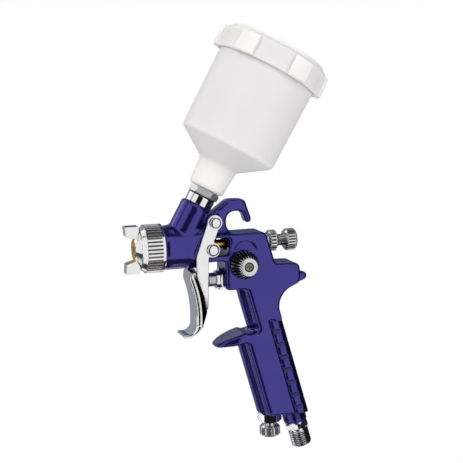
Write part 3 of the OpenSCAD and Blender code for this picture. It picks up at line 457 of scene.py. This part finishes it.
def trigger_chrome():
    """Polished chrome, with painted shade on the flanks behind the blade's bright edge."""
    f = Finish("trigger_chrome")
    wear, clean = f.worn(CHROME)
    ripple = f.noise(1500.0, 2.0)
    x, z = f.part("X") - BLADE_MID[0], f.part("Z") - BLADE_MID[1]
    behind = (x * x + z * z) ** 0.5 - BLADE_BOW
    proud = f.size_of(f.part("Y")) - behind * BLADE_SPREAD - BLADE_HALF
    flank = f.ramp(behind, FLANK_FROM - 0.3, FLANK_FROM + 0.3, 0.0, 1.0) * f.ramp(proud, 0.2, 2.0, 1.0, 0.0)
    low = f.ramp(f.part("Z"), FLANK_TOP - 3.0, FLANK_TOP, 1.0, 0.0)
    # painted shade: the blade's flanks are darkened and rougher
    flank_shade = flank * f.ramp(proud, -4.5, -3.5, 0.0, 1.0) * low
    return f.surface(base_color=f.mix(flank_shade, clean, rgb(46, 40, 32)), metallic=1.0,
                     roughness=0.05 + 0.05 * wear + 0.15 * flank_shade,
                     normal=f.bump(ripple, 0.000006, 0.4, f.broken_edge()))


def screw_finish(name, centre, inner):
    """A recessed cross-slotted screw: matt grey in the middle, with painted shade at its rim."""
    f = Finish(name)
    wear = f.noise(400.0, 4.0)
    # painted shade round the screw's rim, in its recess
    rim = f.ramp(f.radius("Y", centre), inner, inner + 0.3, 0.0, 1.0)
    colour = f.mix(rim, f.mix(wear, rgb(150, 150, 140), rgb(96, 96, 90)), rgb(34, 34, 34))
    return f.surface(base_color=colour, metallic=1.0, roughness=0.3 + 0.1 * wear, normal=f.broken_edge(0.15))


def turned_steel():
    """Steel turned on a lathe along the needle: fine rings round X."""
    f = Finish("turned_steel")
    lathe = {"Vector": f.place(), "Scale": 900.0, "Distortion": 1.5}
    rings = f.add("ShaderNodeTexWave", {"bands_direction": "X"}, lathe, "Fac")
    return f.surface(base_color=f.mix(rings, rgb(176, 177, 180), rgb(205, 206, 208)), metallic=1.0,
                     roughness=0.24 + 0.1 * rings, normal=f.bump(rings, 0.000015, 0.5))


print("lacquer, plated, knurled and turned metal")


# %% [markdown]
# The air cap is one piece of brass, plated all over and then cut bare on its front face and on the inside of
# its two horns. The bare places are found by their distance from the needle's axis and along it.

# %% Air cap
NEEDLE_AXIS = (0, 0, 0)
CAP_FACE, HORN_TIP, HORN_ROOT = -57.05, -62.65, -55.05
DISC_R, HORN_LOW, HORN_HIGH, HORN_OUT = 6.45, 6.4, 8.6, 9.6
RINGS_PER_MM = 26.0


def two_tone_cap():
    f = Finish("two_tone_cap")
    wear, plated = f.worn(CHROME, 0.9)
    out = f.radius("X", NEEDLE_AXIS)
    along = f.part("X")
    disc = (along < CAP_FACE + 0.25) * (along > CAP_FACE - 0.3) * (out < DISC_R)
    slope = (HORN_HIGH - HORN_LOW) / (HORN_ROOT - HORN_TIP - 0.5)
    facing = f.size_of(f.part("Z")) < HORN_LOW + 0.25 + slope * (HORN_ROOT - along)
    bare = f.larger(disc, facing * (along < CAP_FACE + 0.3) * (out < HORN_OUT))
    rings = f.add("ShaderNodeMath", {"operation": "SINE"}, {0: out * RINGS_PER_MM})
    metal = f.mix(bare, plated, f.mix(wear, BRASS, darker(BRASS, 0.85)))
    return f.surface(base_color=metal, metallic=1.0, roughness=0.08 + 0.05 * wear + 0.12 * bare,
                     normal=f.bump(rings * bare, 0.00001, 0.5, f.broken_edge()))


two_tone = two_tone_cap()
print("cap bare in front of", CAP_FACE, "mm")


# %% [markdown]
# The cup and lid are moulded in milky plastic that lets some light through, and the packings and seals are a
# white and a black polymer.

# %% Plastics
def milky_plastic():
    f = Finish("milky_plastic")
    cloud = f.noise(38.0, 3.0)
    grain = f.noise(1800.0, 2.0)
    colour = f.mix(cloud, rgb(240, 237, 229), rgb(246, 242, 238))
    return f.surface(base_color=colour, roughness=0.36 + 0.1 * grain, ior=1.49, transmission_weight=0.12,
                     subsurface_weight=0.6, subsurface_radius=(0.008, 0.008, 0.007), subsurface_scale=1.0,
                     normal=f.bump(grain, 0.00002, 0.4, f.broken_edge(0.4)))


def plain_polymer(name, colour, roughness):
    f = Finish(name)
    grain = f.noise(1400.0, 3.0)
    lighter = tuple(min(c * 1.25, 1.0) for c in colour[:3]) + (1.0,)
    return f.surface(base_color=f.mix(grain, colour, lighter), roughness=roughness + 0.12 * grain,
                     normal=f.bump(grain, 0.00003, 0.4))


print("milky plastic and plain polymers")


# %% [markdown]
# Every node takes the finish of its material slot, apart from those whose grooves, threads or bare places need
# a finish of their own. A knurl is given by its axis, a point on it, the ridges' radius and where the ridges
# start and end.

# %% Choose finishes
PIVOT, STUD, CONTROL_AXIS = (-7.9, 0, 15.3), (-9.8, 0, -1.6), (28.8, 0, 0)
FAN_AT = Vector((10.3, 0, -12.2))
finishes = {
    "body_enamel": violet_enamel(),
    "chrome": bright_metal("polished_chrome", CHROME, 0.05, 0.05, 0.000006),
    "satin_nickel": bright_metal("satin_nickel", NICKEL, 0.16, 0.12, 0.00001),
    "steel": turned_steel(),
    "brass": bright_metal("turned_brass", BRASS, 0.18, 0.12, 0.00001),
    "cup_plastic": milky_plastic(),
    "white_packing": plain_polymer("white_packing", rgb(222, 222, 218), 0.5),
    "black_seal": plain_polymer("black_rubber", rgb(22, 22, 23), 0.55),
}
special = {
    "air_cap": two_tone,
    # the ring's grooves carry a lighter painted shade
    "retaining_ring": knurled_metal("ring_knurl", CHROME, 0.08, "X", NEEDLE_AXIS, 15.1, (-50.5, -41.05),
                                    groove_shade=rgb(104, 100, 100)),
    "fluid_lock_nut": knurled_metal("lock_nut_knurl", NICKEL, 0.18, "X", NEEDLE_AXIS, 6.8, (30.9, 34.2)),
    "fluid_knob": knurled_metal("fluid_knob_knurl", NICKEL, 0.18, "X", NEEDLE_AXIS, 7.0, (42.2, 46.9),
                                thread=(33.0, 40.9)),
    "air_control_knob": knurled_metal("control_knob_knurl", NICKEL, 0.16, "Z", CONTROL_AXIS, 6.7, (-126.1, -121.4)),
    "trigger_pivot_pin": domed_head("pivot_head", PIVOT, inner=2.7, outer=3.15),
    "trigger_pivot_screw": domed_head("pivot_screw_head", PIVOT, inner=2.7, outer=3.15),
    "stud_screw_near": domed_head("stud_head", STUD, inner=2.8, outer=3.3),
    "stud_screw_far": domed_head("stud_head_far", STUD, inner=2.8, outer=3.3),
    "fan_knob_screw": screw_finish("fan_screw", FAN_AT, inner=2.1),
    "trigger": trigger_chrome(),
    "cup_union": bright_metal("brushed_union", CHROME, 0.5, 0.1, 0.00001),
}
slot_of = {entry["node"]: entry["material_slot"] for entry in frame["record"]["subparts"]}
for name, thing in nodes.items():
    for place in thing.material_slots:
        place.material = special.get(name) or finishes[slot_of[name]]
print(len(finishes) + len(special), "finishes on", len(slot_of), "nodes")


# %% [markdown]
# ## The casting
# A die-cast body has no sharp edge: every corner is drawn round by the mould and the lacquer. Bevels on a mesh
# with many bores break easily, so the solid is wrapped in an even skin of small squares. The skin is smoothed,
# smoothed again to see what that takes away, and given it back: edges turn round and the volume stays. Shallow
# relief is smoothed less, or it would go. The trigger is polished alike, and its blade's flanks draw in behind
# the rounded front edge.

# %% Casting
PULL, FINE_SHARE = 0.5, 0.16
PADS_BEHIND, PADS_TOP, PADS_FOOT = 11, 52, 128
CRESCENT_AT, CRESCENT_R, CRESCENT_Y = (11.5, -6), 11, -10
FLANK_LEAN, FLANK_SLACK = 0.45, 0.25


def new_piece(name, mesh, body, slot, stands_for, finish=None):
    """A piece that moves with a body, stands for nodes and takes the finish of a material slot or its own."""
    piece = bpy.data.objects.new(name, mesh)
    bpy.context.scene.collection.objects.link(piece)
    mesh.materials.clear()
    mesh.materials.append(finish or finishes[slot])
    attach(piece, body)
    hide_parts(*stands_for)
    return piece


def fine_relief(points):
    """Where the body has shallow relief: the grip's pads and the crescent above the fan knob."""
    x, y, z = (points / MM - np.array(COLLAR)).T
    behind = x * math.cos(RAKE) + z * math.sin(RAKE)
    below = x * math.sin(RAKE) - z * math.cos(RAKE)
    pads = (behind > PADS_BEHIND) & (below > PADS_TOP) & (below < PADS_FOOT)
    crescent = (np.hypot(x - CRESCENT_AT[0], z - CRESCENT_AT[1]) < CRESCENT_R) & (y < CRESCENT_Y)
    return pads | crescent


def blade_flank(points):
    """Draws the trigger blade's flanks in behind its rounded front edge, as a polished blade is ground."""
    x, y, z = (points / MM - np.array(COLLAR)).T
    behind = np.hypot(x - BLADE_MID[0], z - BLADE_MID[1]) - BLADE_BOW
    flank = BLADE_HALF + BLADE_SPREAD * behind
    drawn = BLADE_HALF + BLADE_SPREAD * FLANK_FROM - FLANK_LEAN * (behind - FLANK_FROM)
    ground = (behind > FLANK_FROM) & (z < FLANK_TOP) & (np.abs(y) < flank + FLANK_SLACK)
    shaped = points.copy()
    shaped[ground, 1] = (np.sign(y) * np.minimum(np.abs(y), drawn))[ground] * MM + COLLAR[1] * MM
    return shaped


def skin_of(node, voxel, passes, fine=None, reshape=None):
    """The node's shape as an even skin of squares, with its edges smoothed round, and less so where it is fine."""
    draft = bpy.data.objects.new(node + "_draft", nodes[node].data.copy())
    bpy.context.scene.collection.objects.link(draft)
    wrap = draft.modifiers.new("wrap", "REMESH")
    wrap.mode = "VOXEL"
    wrap.voxel_size = voxel
    mesh = bpy.data.meshes.new_from_object(draft.evaluated_get(bpy.context.evaluated_depsgraph_get()))
    bpy.data.objects.remove(draft)
    count = len(mesh.vertices)
    flat = np.empty(count * 3)
    mesh.vertices.foreach_get("co", flat)
    points = flat.reshape(count, 3)
    if reshape:
        points = reshape(points)
    ends = np.empty(len(mesh.edges) * 2, dtype=np.int32)
    mesh.edges.foreach_get("vertices", ends)
    first, second = ends[::2], ends[1::2]
    links = np.bincount(first, minlength=count) + np.bincount(second, minlength=count)
    pull = np.full(count, PULL)
    if fine:
        pull[fine(points)] *= FINE_SHARE

    def softened(places):
        for step in range(passes):
            sums = [np.bincount(first, places[second, k], count) + np.bincount(second, places[first, k], count)
                    for k in range(3)]
            places = places + pull[:, None] * (np.stack(sums, axis=1) / links[:, None] - places)
        return places

    once = softened(points)
    points = 2 * once - softened(once)
    mesh.vertices.foreach_set("co", points.ravel())
    mesh.polygons.foreach_set("use_smooth", np.ones(len(mesh.polygons), dtype=bool))
    mesh.update()
    return mesh


body_skin = skin_of("gun_body", voxel=0.42 * MM, passes=110, fine=fine_relief)
new_piece("cast_body", body_skin, "body", "body_enamel", ["gun_body"])
trigger_skin = skin_of("trigger", voxel=0.28 * MM, passes=6, reshape=blade_flank)
new_piece("polished_trigger", trigger_skin, "trigger", "chrome", ["trigger"], special["trigger"])
print("casting", len(body_skin.polygons), "faces, trigger", len(trigger_skin.polygons))


# %% [markdown]
# ## Turned pieces
# Nipples, nuts and screws come off a lathe: a profile turned round an axis. One function turns any closed
# profile, and a rule draws the radius in by angle and height, which gives hexagons, ridges and screw threads.

# %% Turning
def turned(loop, around, rule):
    """The skin of a closed loop of (radius, height) points, in millimetres, turned round Z."""
    radius, height = np.array(loop, dtype=float).T
    angle = np.arange(around) * 2 * np.pi / around
    r = np.repeat(radius[:, None], around, axis=1)
    z = np.repeat(height[:, None], around, axis=1)
    a = np.repeat(angle[None, :], len(loop), axis=0)
    r = rule(r, z, a)
    verts = np.stack([r * np.cos(a), r * np.sin(a), z], axis=-1).reshape(-1, 3) * MM
    faces = []
    for i in range(len(loop)):
        row, after = i * around, (i + 1) % len(loop) * around
        faces += [(row + k, row + (k + 1) % around, after + (k + 1) % around, after + k) for k in range(around)]
    mesh = bpy.data.meshes.new("turned")
    mesh.from_pydata(verts.tolist(), [], faces)
    return mesh


def settle(mesh, matrix, crease=32):
    """Moves a mesh into place and smooths it, keeping edges sharper than the crease."""
    mesh.transform(matrix)
    mesh.polygons.foreach_set("use_smooth", np.ones(len(mesh.polygons), dtype=bool))
    mesh.set_sharp_from_angle(angle=math.radians(crease))
    mesh.update()
    return mesh


def hexagon(r, a, across_flats, turn):
    """Draws a radius in to a hexagon with a corner at the turn's angle."""
    return np.minimum(r, across_flats / 2 / np.cos(np.mod(a - math.radians(turn), np.pi / 3) - np.pi / 6))


def tooth(z, a, pitch):
    """A right-hand screw's profile: 0 at the crest and 1 in the root, with narrow flats."""
    phase = np.mod(z / pitch + a / (2 * np.pi), 1.0)
    return np.clip(1.25 - 2.5 * np.abs(phase - 0.5), 0, 1)


print("lathe ready")


# %% [markdown]
# ## Air inlet
# The nipple at the foot of the grip has a hexagon for the spanner and a quarter-inch pipe thread, nineteen
# turns to the inch. The solid's plain cylinder is the size of the thread's crests, so the turned nipple
# replaces it.

# %% Air inlet
THREAD_R, THREAD_LEN, NECK_R, BORE_R = 6.58, 10.5, 5.9, 4.0
PITCH, THREAD_DEPTH, RUN_IN, RUN_OUT, ROW_STEP = 1.337, 0.72, 0.8, 1.2, 0.085
HEX_AF, HEX_LOW, HEX_HIGH, HEX_CORNER, HEX_TURN, HEX_CHAMFER = 14.0, 11.8, 16.3, 8.083, 18, 0.7
SEAT_R, SEAT_TOP = 6.2, 20.0


def inlet_rule(r, z, a):
    """Cuts the thread below the neck and the flats above it."""
    fade = np.clip((THREAD_LEN - z) / RUN_OUT, 0, 1) * np.clip((z - 0.1) / RUN_IN, 0, 1)
    thread = r - THREAD_DEPTH * fade * tooth(z, a, PITCH)
    cut = np.where((z < THREAD_LEN) & (r > BORE_R + 1.5), thread, r)
    return np.where((z >= HEX_LOW) & (z <= HEX_HIGH), hexagon(cut, a, HEX_AF, HEX_TURN), cut)


def inlet_finish():
    """Chrome with painted shade in the thread's roots."""
    f = Finish("inlet_chrome")
    wear, clean = f.worn(CHROME)
    up, out = f.up_axis(Vector((-math.sin(RAKE), 0, math.cos(RAKE))))
    # painted shade in the thread's roots
    root = f.ramp(out, THREAD_R - THREAD_DEPTH, THREAD_R - 0.15, 1.0, 0.0)
    root = root * (up < THREAD_LEN) * (up > 0.3) * (out > BORE_R + 1)
    return f.surface(base_color=f.mix(root, clean, rgb(112, 112, 114)), metallic=1.0,
                     roughness=0.09 + 0.06 * wear + 0.2 * root)


rows = np.arange(0.6, THREAD_LEN - 0.05, ROW_STEP)
inlet_loop = [(BORE_R, SEAT_TOP), (BORE_R, 0.5), (BORE_R + 0.5, 0.0), (THREAD_R - 0.7, 0.0)]
inlet_loop += [(THREAD_R, float(h)) for h in rows]
inlet_loop += [(NECK_R, THREAD_LEN), (NECK_R, HEX_LOW), (HEX_AF / 2 - 0.1, HEX_LOW),
               (HEX_CORNER, HEX_LOW + HEX_CHAMFER), (HEX_CORNER, HEX_HIGH - HEX_CHAMFER),
               (HEX_AF / 2 - 0.1, HEX_HIGH), (SEAT_R, HEX_HIGH), (SEAT_R, SEAT_TOP)]
inlet_mesh = settle(turned(inlet_loop, 120, inlet_rule), Matrix.Rotation(-RAKE, 4, "Y"), crease=20)
new_piece("threaded_nipple", inlet_mesh, "body", "chrome", ["air_inlet_nipple"], inlet_finish())
print("nipple", len(inlet_mesh.polygons), "faces,", round(THREAD_LEN / PITCH, 1), "turns of thread")


# %% [markdown]
# ## Fan knob
# The knob's ridges run from its skirt up a cone to the face, with grooves between bright tips that painted shade
# darkens. The solid has them on the skirt only, so a turned knob stands in for it, inside the same outline.

# %% Fan knob
FAN_BASE, FAN_FACE = 13.3, 24.3
SKIRT_R, SKIRT_TOP, FACE_R, FACE_EDGE = 9.1, 16.1, 5.6, 0.6
RECESS_R, RECESS_DEPTH, SPINDLE_R = 2.95, 2.0, 2.02
FAN_RIDGES, FAN_GROOVE, HALF_TIP, HALF_FLANK = 24, 1.15, 0.16, 0.16
POINTS_PER_RIDGE, CONE_ROWS = 12, 14


def cone_land(height):
    """The radius of the ridges' tips at a height above the gun's middle."""
    up = np.clip((height - SKIRT_TOP) / (FAN_FACE - FACE_EDGE - SKIRT_TOP), 0, 1)
    return SKIRT_R + (FACE_R + FACE_EDGE - SKIRT_R) * up


def fan_rule(r, z, a):
    """Cuts the grooves, fading out at the face and at the foot."""
    share = np.mod(FAN_RIDGES * a / (2 * np.pi) + 0.5, 1.0) - 0.5
    groove = np.clip((np.abs(share) - HALF_TIP) / HALF_FLANK, 0, 1)
    fade = np.clip((FAN_FACE - z) / 1.0, 0, 1) * np.clip((z - FAN_BASE) / 0.5, 0, 1)
    depth = FAN_GROOVE * (0.55 + 0.45 * cone_land(z) / SKIRT_R)
    return np.where(r > FACE_R - 0.5, r - depth * groove * fade, r)


def fan_finish():
    """Nickel with painted shade in the grooves, half-way up the cone and in the screw's recess."""
    f = Finish("fan_knob_ridges")
    wear, clean = f.worn(NICKEL, 0.9)
    height = 0 - f.part("Y")
    out = f.radius("Y", FAN_AT)
    land = f.ramp(height, SKIRT_TOP, FAN_FACE - FACE_EDGE, SKIRT_R, FACE_R + FACE_EDGE)
    recess_shade = f.ramp(land - out, 0.25, 0.6, 0.0, 1.0) * (height < FAN_FACE - 0.35)
    slope = f.ramp(height, SKIRT_TOP + 1.0, SKIRT_TOP + 2.2, 0.0, 0.85)
    slope = slope * f.ramp(height, FAN_FACE - 2.6, FAN_FACE - 1.2, 1.0, 0.0)
    hole = f.ramp(out, RECESS_R, RECESS_R + 0.2, 1.0, 0.0)
    # painted shade in the grooves, half-way up the cone and in the screw's recess
    dark = f.larger(f.larger(recess_shade, slope), hole)
    return f.surface(base_color=f.mix(dark, clean, rgb(24, 24, 26)), metallic=1.0,
                     roughness=0.14 + 0.1 * wear + 0.2 * dark,
                     normal=f.bump(wear, 0.00001, 0.3, f.broken_edge(0.15)))


recess_floor = FAN_FACE - RECESS_DEPTH
fan_loop = [(SPINDLE_R, recess_floor), (SPINDLE_R, FAN_BASE), (SKIRT_R - 0.5, FAN_BASE), (SKIRT_R, FAN_BASE + 0.6)]
fan_loop += [(float(cone_land(h)), float(h)) for h in np.linspace(SKIRT_TOP, FAN_FACE - FACE_EDGE, CONE_ROWS)]
fan_loop += [(FACE_R + 0.2, FAN_FACE - 0.15), (FACE_R - 0.1, FAN_FACE)]
fan_loop += [(RECESS_R, FAN_FACE), (RECESS_R, recess_floor)]
fan_turn = Matrix.Translation((COLLAR + FAN_AT) * MM) @ Matrix.Rotation(math.pi / 2, 4, "X")
fan_mesh = settle(turned(fan_loop, FAN_RIDGES * POINTS_PER_RIDGE, fan_rule), fan_turn)
new_piece("ridged_fan_knob", fan_mesh, "fan_control", "satin_nickel", ["fan_knob"], fan_finish())
print("fan knob", len(fan_mesh.polygons), "faces")


# %% [markdown]
# ## Springs
# Two coil springs close the gun when the finger lets go: one behind the needle's collar, one behind the air
# valve. A rigid coil would run into the piece that presses on it. Each is a stand-in with the solid's own turns,
# fixed to the body. The travel listed for each, as much as the needle or the valve moves, is not used.

# %% Springs
SPRING_TRAVEL = {"needle_spring": 1.95, "air_valve_spring": 4.33}
for node, travel in SPRING_TRAVEL.items():
    turns = settle(nodes[node].data.copy(), Matrix.Identity(4))
    coil = new_piece("coiled_" + node, turns, "body", "steel", [node])
    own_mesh(coil)


# %% Close
bpy.context.view_layer.update()
